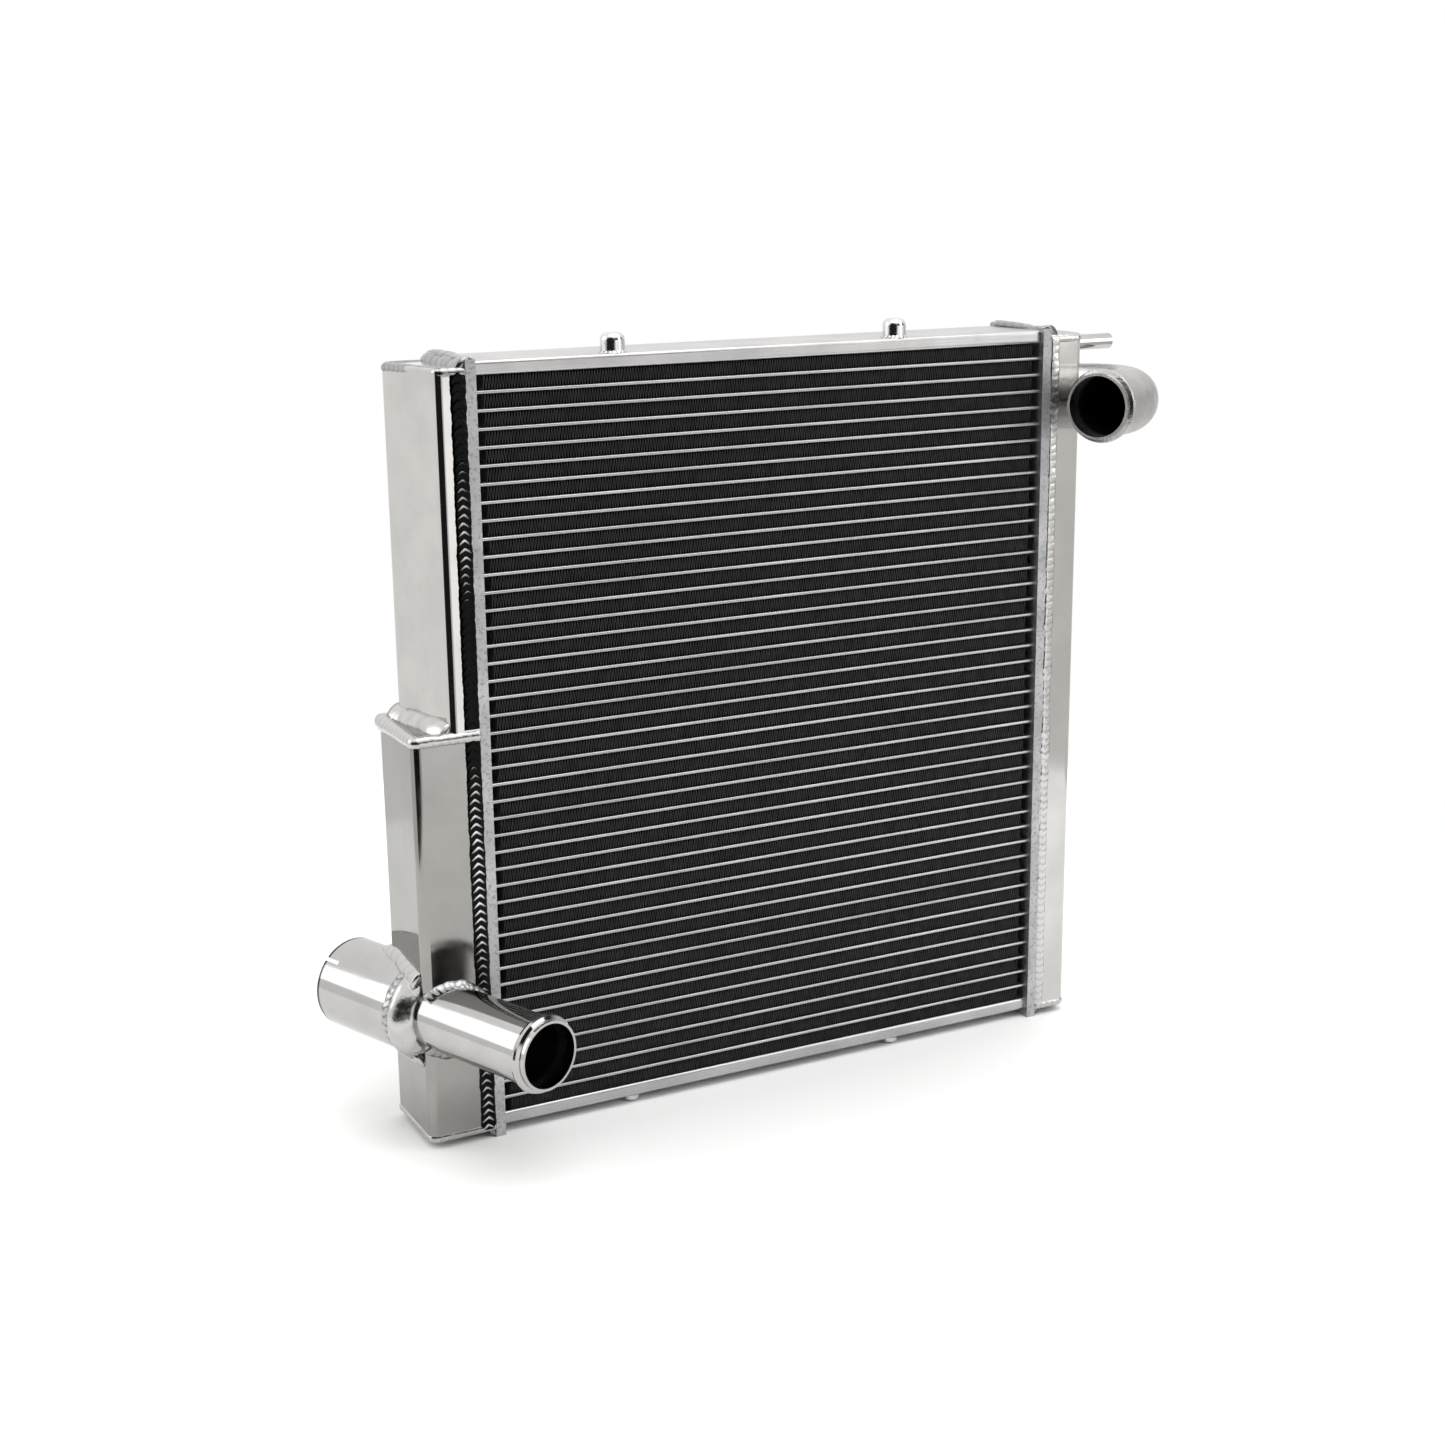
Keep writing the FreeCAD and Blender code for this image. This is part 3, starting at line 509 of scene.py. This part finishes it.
def lay_bead(name, points, outs, width, rise, material, puddle=0.0047, sink=0.0, closed=False,
             chevron=1.0, relief=0.4, lumps=0.1, swells=(1, 1), shine=(1, 1)):
    """A closed strip of puddles along a line.

    outs gives the way the bead faces at each point, rise how far it stands up from its middle
    line, sink how far that line is set into the metal, swells how it thickens on the way, and
    shine how much painted highlight its crests get along the way.
    """
    line, lengths = measure(points, closed)
    facings = [Vector(out).normalized() for out in outs]
    if closed:
        facings.append(facings[0].copy())
    total = lengths[-1]
    puddles = max(2, round(total / puddle))
    stations = puddles * STEPS_PER_PUDDLE
    step = total / stations
    chance = random.Random(sum(map(ord, name)))
    sways = [chance.uniform(-lumps, lumps) for _ in range(puddles + 2)]
    heaps = [chance.uniform(1 - lumps * 2, 1 + lumps) for _ in range(puddles + 2)]
    if closed:
        sways[-2:], heaps[-2:] = sways[:2], heaps[:2]

    bm = bmesh.new()
    bmesh.ops.create_grid(bm, x_segments=stations, y_segments=ACROSS, size=0.5)
    lower = bmesh.ops.extrude_face_region(bm, geom=bm.faces[:], use_keep_orig=True)
    for item in lower["geom"]:
        if isinstance(item, bmesh.types.BMVert):
            item.co.z = -1
    if closed:
        ends = [face for face in bm.faces
                if all(abs(abs(vert.co.x) - 0.5) < 1e-6 for vert in face.verts)]
        bmesh.ops.delete(bm, geom=ends, context="FACES_ONLY")
    crest_highlight = bm.verts.layers.float.new("crest_highlight")
    for vert in bm.verts:
        distance = (vert.co.x + 0.5) * total
        side = vert.co.y * 2
        count = distance / total * puddles
        phase = (count + chevron * abs(side) ** 1.3 * 0.5) % 1.0
        heap = at_share(heaps, count / (puddles + 1)) * at_share(swells, distance / total)
        sway = at_share(sways, count / (puddles + 1))
        ahead = distance + step
        behind = distance - step
        if closed:
            ahead, behind = ahead % total, behind % total
        out = at_length(facings, lengths, distance).normalized()
        run = at_length(line, lengths, min(ahead, total)) - at_length(line, lengths, max(behind, 0))
        across = run.normalized().cross(out).normalized()
        if phase < CREST_AT:
            puddle_rise = 1 - (1 - phase / CREST_AT) ** 2
        else:
            puddle_rise = 1 - ((phase - CREST_AT) / (1 - CREST_AT)) ** 2
        dome = math.sqrt(max(0.0, 1 - side * side))
        lift = rise * dome * heap * (1 - relief + relief * puddle_rise)
        reach = side * (1 + 0.05 * puddle_rise) / 2 + sway * (1 - side * side)
        reach *= width * heap ** 0.5
        # How much painted highlight this point gets: most at a puddle's crest and along the bead's
        # middle.
        vert[crest_highlight] = puddle_rise * (0.6 + 0.4 * dome) * at_share(shine, distance / total)
        middle = at_length(line, lengths, distance) - out * sink
        vert.co = middle + across * reach + out * (lift if vert.co.z > -0.5 else -UNDERSIDE)
    if closed:
        bmesh.ops.remove_doubles(bm, verts=bm.verts, dist=0.00002)
    bmesh.ops.recalc_face_normals(bm, faces=bm.faces)
    return finish_piece(name, bm, material, smooth=True)


# Each weld's first colour is painted shade for its grooves, and its second is painted highlight for
# its crests.
dressed_weld = weld_metal("dressed weld", (0.4, 0.395, 0.39), (0.56, 0.55, 0.54), 0.1, 0.7)
bright_weld = weld_metal("bright weld", (0.1, 0.1, 0.1), (0.6, 0.595, 0.585), 0.2, 0.7)
dark_weld = weld_metal("dark weld", (0.008, 0.008, 0.008), (0.8, 0.8, 0.79), 0.8, 1.0)
smoked_weld = weld_metal("smoked weld", (0.17, 0.17, 0.172), (0.42, 0.415, 0.42), 0.1, 0.9)
dull_weld = weld_metal("dull weld", (0.25, 0.25, 0.252), (0.34, 0.337, 0.34), 0.1, 0.9)
smooth_weld = weld_metal("smooth weld", (0.44, 0.435, 0.43), (0.5, 0.49, 0.48), 0.1, 0.9)

header_low, header_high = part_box("left_header")
front_y, back_y = header_low.y, header_high.y
left_seam_x = header_low.x
right_seam_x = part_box("right_header")[1].x
tank_low_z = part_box("left_tank_bottom_cap")[0].z
tank_high_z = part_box("left_tank_top_cap")[1].z
step_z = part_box("left_tank_step_cap")[1].z
LEFT_BEAD = 0.0092
RIGHT_BEAD = 0.0062


def seam(name, x, y, low, high, width, rise, material, chevron, relief, lumps, shine=(1, 1)):
    """A straight upright bead where a tank's wall meets the header's flange."""
    outward = -1 if y < (front_y + back_y) / 2 else 1
    lay_bead(name, [(x, y, low), (x, y, high)], [(0, outward, 0)] * 2, width, rise, material,
             chevron=chevron, relief=relief, lumps=lumps, shine=shine)


left_bead_x = left_seam_x - LEFT_BEAD / 2
right_bead_x = right_seam_x + RIGHT_BEAD / 2
# The lists at the end of the left seams say how much painted highlight their crests get along them.
for y, word in ((front_y, "front"), (back_y, "back")):
    seam("weld_left_upper_" + word, left_bead_x, y, step_z + 0.002, tank_high_z - 0.002, LEFT_BEAD,
         0.0009, dark_weld, 1.7, 0.3, 0.09, (0.4, 0.4, 0.5, 0.85, 0.97, 0.95, 0.85, 0.4, 0.3))
    seam("weld_left_lower_" + word, left_bead_x, y, tank_low_z + 0.002, step_z - 0.004, LEFT_BEAD,
         0.0009, dark_weld, 1.7, 0.35, 0.09, (1, 0.95, 0.85, 0.9, 0.95, 1, 1, 1, 0.95, 0.7))
    seam("weld_right_" + word, right_bead_x, y, tank_low_z + 0.002, tank_high_z - 0.002, RIGHT_BEAD,
         0.0007, dressed_weld, -0.5, 0.22, 0.2)


# ---- Cap and step welds -------------------------------------------------------------------
# Each cap is welded to its tank all round, and the bead is dressed smooth with the sheet. The
# step's bead is left heavy, and builds up most at its back corner.

UPPER_FRONT_WIDTH = 0.017
TANK_ROUND = 0.005
EDGE_BEAD = 0.0032
STEP_BEAD = 0.0036


def around(seam_x, front_width, back_width, z, radius=TANK_ROUND):
    """Points and facings round a tank's three outer walls, from its front seam to its back seam."""
    way = 1 if seam_x > 0 else -1
    points, outs = [], []

    def add(x, y, out_x, out_y):
        points.append((seam_x + way * x, y, z))
        outs.append((way * out_x, out_y, 0))

    add(0, front_y, 0, -1)
    add(front_width - radius, front_y, 0, -1)
    for step in range(1, 6):
        turn = math.radians(18 * step)
        add(front_width - radius + radius * math.sin(turn),
            front_y + radius - radius * math.cos(turn), math.sin(turn), -math.cos(turn))
    for step in range(6):
        turn = math.radians(18 * step)
        add(back_width - radius + radius * math.cos(turn),
            back_y - radius + radius * math.sin(turn), math.cos(turn), math.sin(turn))
    add(0, back_y, 0, 1)
    return points, outs


lower_width = left_seam_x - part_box("left_tank_lower_shell")[0].x
upper_back_width = left_seam_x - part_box("left_tank_upper_shell")[0].x
right_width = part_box("right_tank_shell")[1].x - right_seam_x


def cap_weld(name, seam_x, front_width, back_width, z, up, material):
    """A dressed bead round a cap's outside edge, set in so that it only just stands proud."""
    points, outs = around(seam_x, front_width, back_width, z)
    tilted = [(out[0], out[1], up) for out in outs]
    lay_bead(name, points, tilted, EDGE_BEAD * 2, EDGE_BEAD, material, sink=0.0036, chevron=0.4,
             relief=0.03, lumps=0.03)


cap_weld("weld_left_top_cap", left_seam_x, UPPER_FRONT_WIDTH, upper_back_width, tank_high_z, 1,
         dull_weld)
for side, seam_x, width, end, z, up in (
        ("left", left_seam_x, lower_width, "bottom", tank_low_z, -1),
        ("right", right_seam_x, right_width, "top", tank_high_z, 1),
        ("right", right_seam_x, right_width, "bottom", tank_low_z, -1)):
    cap_weld("weld_%s_%s_cap" % (side, end), seam_x, width, width, z, up, smooth_weld)

step_points, step_outs = around(left_seam_x, lower_width, lower_width, step_z)
lay_bead("weld_step_edge", step_points, [(out[0], out[1], 1) for out in step_outs], STEP_BEAD * 2,
         STEP_BEAD, smooth_weld, sink=0.0031, chevron=0.3, relief=0.03, lumps=0.04,
         swells=(1, 1, 1, 1.05, 1.1, 1.1, 1.3, 1.8, 1.4, 1, 1))
ledge_front = (left_seam_x - UPPER_FRONT_WIDTH, front_y + 0.002, step_z)
ledge_back = (left_seam_x - upper_back_width, back_y - 0.002, step_z)
lay_bead("weld_step_wall", [ledge_front, ledge_back], [(-1, 0, 0.8)] * 2, 0.017, 0.006, smooth_weld,
         puddle=0.011, chevron=0.5, relief=0.02, lumps=0.07, swells=(0.9, 1.15, 1, 1.1, 1.15))


# ---- Header end welds ---------------------------------------------------------------------
# The ends of each header are closed over with weld where they stand past the tank's cap. These
# heaps are left rough, and are thickest at the back.

header_ends = (("top", 1, tank_high_z, 0.012, 0.0048), ("bottom", -1, tank_low_z, 0.009, 0.004))
for way, seam_x, side in ((-1, left_seam_x, "left"), (1, right_seam_x, "right")):
    for end, up, cap_z, width, rise in header_ends:
        corner = [(seam_x, front_y + 0.001, cap_z), (seam_x, back_y - 0.001, cap_z)]
        lay_bead("weld_%s_header_%s_step" % (side, end), corner, [(way, 0, up)] * 2, width, rise,
                 dull_weld, puddle=0.0075, chevron=0.35, relief=0.035, lumps=0.12,
                 swells=(1, 0.9, 0.95, 1, 1))
    plate_x = seam_x - way * 0.003
    cover = [(plate_x, front_y + 0.0012, header_high.z), (plate_x, back_y - 0.001, header_high.z)]
    lay_bead("weld_%s_header_top_cover" % side, cover, [(0, 0, 1)] * 2, 0.0078, 0.0019, dull_weld,
             puddle=0.0075, chevron=0.6, relief=0.1, lumps=0.14,
             swells=(0.6, 0.7, 0.8, 1.3, 1.4, 1))


# ---- Pipe and peg welds -------------------------------------------------------------------
# Every pipe is welded to its tank all the way round where the two surfaces meet, and each peg
# to its side plate. The beads follow the crossing of tube and sheet.

def ring(center, axis, radius, lean, count=48):
    """Points round an axis, and facings that lean from straight out towards the axis direction."""
    first = axis.orthogonal().normalized()
    second = axis.cross(first)
    points, outs = [], []
    for step in range(count):
        turn = math.tau * step / count
        out = first * math.cos(turn) + second * math.sin(turn)
        points.append(center + out * radius)
        outs.append(out + axis * lean)
    return points, outs


def ring_weld(name, center, axis, radius, width, rise, material, lean=1.0, puddle=0.0038,
              relief=0.3, lumps=0.1):
    points, outs = ring(center, axis, radius, lean)
    lay_bead(name, points, outs, width, rise, material, puddle=puddle, closed=True, relief=relief,
             lumps=lumps)


out_of_tank = Vector((1, 0, 0))
tank_side_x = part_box("right_tank_shell")[1].x
core_y = (front_y + back_y) / 2
inlet_z = mounts["inlet_mouth"]["pos_m"][2]
hose_radius = (mounts["inlet_mouth"]["dims"]["r_mm"] + 1.5) / 1000
ring_weld("weld_inlet_elbow", Vector((tank_side_x, core_y, inlet_z)), out_of_tank, hose_radius,
          0.012, 0.0046, smoked_weld, puddle=0.0055, relief=0.2, lumps=0.16)
bleed_z = mounts["bleed_mouth"]["pos_m"][2]
bleed_radius = (mounts["bleed_mouth"]["dims"]["r_mm"] + 1.2) / 1000
ring_weld("weld_bleed_pipe", Vector((tank_side_x, core_y, bleed_z)), out_of_tank, bleed_radius,
          0.005, 0.002, dressed_weld, relief=0.15)

peg_reach = mounts["upper_pegs"]["dims"]["spacing_x_mm"] / 2000
for node_name, up, word in (("top_side_plate", 1, "upper"), ("bottom_side_plate", -1, "lower")):
    low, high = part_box(node_name)
    plate_z = high.z if up > 0 else low.z
    peg_radius = mounts[word + "_pegs"]["dims"]["stud_r_mm"] / 1000
    for way, side in ((-1, "left"), (1, "right")):
        foot = Vector((way * peg_reach, 0, plate_z))
        ring_weld("weld_%s_peg_%s" % (word, side), foot, Vector((0, 0, up)), peg_radius,
                  0.0035, 0.0012, bright_weld, puddle=0.0024)


def saddle(mouth_mount, radius, faces):
    """The crossing of a pipe with the flat walls that it meets, as points and facings.

    Each face is a point on the wall, its outward direction and a test of what lies on it.
    """
    mount = mounts[mouth_mount]
    mouth, axis = Vector(mount["pos_m"]), Vector(mount["axis"]).normalized()
    up = Vector((0, 0, 1))
    level = up.cross(axis)
    points, outs = [], []
    for step in range(72):
        turn = math.tau * step / 72
        out = level * math.cos(turn) + up * math.sin(turn)
        start = mouth + out * radius
        for wall, normal, holds in faces:
            meet = start - axis * ((start - wall).dot(normal) / axis.dot(normal))
            if holds(meet):
                points.append(meet)
                outs.append(out + normal)
                break
        else:
            points.append(None)
            outs.append(None)
    return points, outs


box_left_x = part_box("left_tank_lower_shell")[0].x
on_front = (Vector((box_left_x, front_y, 0)), Vector((0, -1, 0)), lambda p: p.x > box_left_x)
on_back = (Vector((box_left_x, back_y, 0)), Vector((0, 1, 0)), lambda p: p.x > box_left_x)
on_left = (Vector((box_left_x, front_y, 0)), Vector((-1, 0, 0)), lambda p: front_y < p.y < back_y)


def open_run(points, outs):
    """The unbroken run of crossings, started after the gap and stopped short of it."""
    count = len(points)
    start = next(i for i in range(count) if points[i] is not None and points[i - 1] is None)
    order = [(start + i) % count for i in range(count)]
    kept = [i for i in order if points[i] is not None]
    return [points[i] for i in kept[1:-1]], [outs[i] for i in kept[1:-1]]


REAR_RADIUS = 0.027
REAR_LENGTH = 0.077
COLLAR_BACK = 0.0135
front_points, front_outs = open_run(*saddle("front_outlet_mouth", hose_radius, [on_front]))
lay_bead("weld_front_outlet", front_points, front_outs, 0.0095, 0.0032, dull_weld, puddle=0.0036,
         relief=0.1, lumps=0.08)
rear_points, rear_outs = open_run(*saddle("rear_outlet_mouth", REAR_RADIUS, [on_back, on_left]))
lay_bead("weld_rear_outlet", rear_points, rear_outs, 0.012, 0.0045, smooth_weld, puddle=0.0075,
         relief=0.05, lumps=0.12)
outlet_axis = Vector(mounts["front_outlet_mouth"]["axis"]).normalized()
rear_mouth = Vector(mounts["rear_outlet_mouth"]["pos_m"])
shoulder = rear_mouth + outlet_axis * REAR_LENGTH
ring_weld("weld_outlet_joint", shoulder - outlet_axis * 0.0035, outlet_axis,
          (hose_radius + REAR_RADIUS) / 2, 0.017, 0.0042, smooth_weld, lean=0.6, puddle=0.012,
          relief=0.03, lumps=0.06)
ring_weld("weld_outlet_collar", shoulder - outlet_axis * COLLAR_BACK, outlet_axis, REAR_RADIUS,
          0.0065, 0.001, smoked_weld, lean=0.0, puddle=0.0046, relief=0.4, lumps=0.25)


# ---- Studio -------------------------------------------------------------------------------
# A pale floor under a bright dome, as in a product studio. Behind the camera the room is
# dark, which gives polished metal its black edges.

FLOOR_RADIUS = 0.75
BEHIND_CAMERA = Vector((-0.67, -0.742, 0))
FRONT = Vector((0.34, -0.94, 0))
BACK_LEFT = Vector((-0.7, 0.7, 0))
LOW_CARD = Vector((0.306, -0.942, -0.139))


def pale_floor():
    material, tree, shader = start_metal("pale floor", (0.9, 0.9, 0.895), 0.9, metallic=0.0)
    shader.inputs["Specular IOR Level"].default_value = 0.1
    tone = pattern(tree, 1.5)
    color = blend_colors(tree, spread(tree, tone, 0, 1), (0.91, 0.91, 0.905), (0.89, 0.89, 0.885))
    tree.links.new(color, shader.inputs["Base Color"])
    bm = bmesh.new()
    bmesh.ops.create_circle(bm, cap_ends=True, radius=FLOOR_RADIUS, segments=128)
    mesh = bpy.data.meshes.new("floor")
    bm.to_mesh(mesh)
    bm.free()
    mesh.materials.append(material)
    floor = bpy.data.objects.new("floor", mesh)
    bpy.context.scene.collection.objects.link(floor)
    floor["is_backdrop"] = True


def studio_dome():
    """Light all round, brightest overhead, with a dark room behind the camera.

    A bright card stands low at the front, and the camera itself sees a white backdrop.
    """
    world = bpy.data.worlds.new("studio")
    bpy.context.scene.world = world
    world.use_nodes = True
    tree = world.node_tree
    background = tree.nodes["Background"]
    sight = tree.nodes.new("ShaderNodeTexCoord").outputs["Generated"]
    up = dot(tree, sight, (0, 0, 1))
    walls = blend_colors(tree, spread(tree, dot(tree, sight, BACK_LEFT), 0, 1, -0.6, 0.6),
                         (0.84, 0.83, 0.81), (1.1, 1.095, 1.08))
    card = spread(tree, dot(tree, sight, LOW_CARD), 0, 1, 0.98, 0.99)
    walls = blend_colors(tree, card, walls, (1.5, 1.5, 1.5))
    room = blend_colors(tree, spread(tree, up, 0, 1, 0.1, 0.7), walls, (1.3, 1.3, 1.3))
    behind_camera = spread(tree, dot(tree, sight, BEHIND_CAMERA), 0, 1, 0.75, 0.8)
    ahead = spread(tree, dot(tree, sight, FRONT), 0, 1, 0.45, 0.6)
    over_floor = spread(tree, up, 0, 1, 0.03, 0.09)
    under_lamps = spread(tree, up, 1, 0, 0.36, 0.5)
    gap = calculate(tree, "MULTIPLY", ahead, calculate(tree, "MULTIPLY", over_floor, under_lamps))
    dark = calculate(tree, "MAXIMUM", behind_camera, gap)
    lit = blend_colors(tree, dark, room, (0.015, 0.015, 0.016))
    camera_sees = tree.nodes.new("ShaderNodeLightPath").outputs["Is Camera Ray"]
    seen = blend_colors(tree, camera_sees, lit, (1.0, 1.0, 1.0))
    tree.links.new(seen, background.inputs["Color"])
    background.inputs["Strength"].default_value = 1.0


def softbox(name, position, target, width, height, power):
    light = bpy.data.lights.new(name, "AREA")
    light.shape = "RECTANGLE"
    light.size, light.size_y = width, height
    light.energy = power
    lamp = bpy.data.objects.new(name, light)
    lamp.location = position
    lamp.rotation_euler = (Vector(target) - Vector(position)).to_track_quat("-Z", "Y").to_euler()
    bpy.context.scene.collection.objects.link(lamp)


pale_floor()
studio_dome()
core_middle = (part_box("air_fins")[0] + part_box("air_fins")[1]) / 2
softbox("top_softbox", (0.2, -0.4, 2.2), core_middle, 2.2, 1.6, 22)
softbox("right_softbox", (1.9, -1.9, 1.1), core_middle, 1.2, 1.8, 16)
softbox("left_softbox", (-2.2, 0.9, 1.2), core_middle, 1.2, 1.8, 10)


# ---- Camera -------------------------------------------------------------------------------
# A portrait lens to the radiator's left and a little above it.

LENS = 53.71
AZIMUTH = math.radians(-27.27)
ELEVATION = math.radians(14.43)
ROLL = math.radians(-0.7)
AIM_OFFSET = Vector((-0.03755, -0.026, 0.00294))
DISTANCE = 1.27495

camera_data = bpy.data.cameras.new("camera")
camera_data.lens = LENS
camera_data.sensor_width = 36.0
camera = bpy.data.objects.new("camera", camera_data)
turned = Matrix.Rotation(AZIMUTH, 4, "Z") @ Matrix.Rotation(math.pi / 2 - ELEVATION, 4, "X")
backward = turned @ Vector((0, 0, 1))
position = core_middle + AIM_OFFSET + backward * DISTANCE
camera.matrix_world = Matrix.Translation(position) @ turned @ Matrix.Rotation(ROLL, 4, "Z")
bpy.context.scene.collection.objects.link(camera)
bpy.context.scene.camera = camera
bpy.context.scene.view_settings.view_transform = "Standard"

low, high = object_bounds()
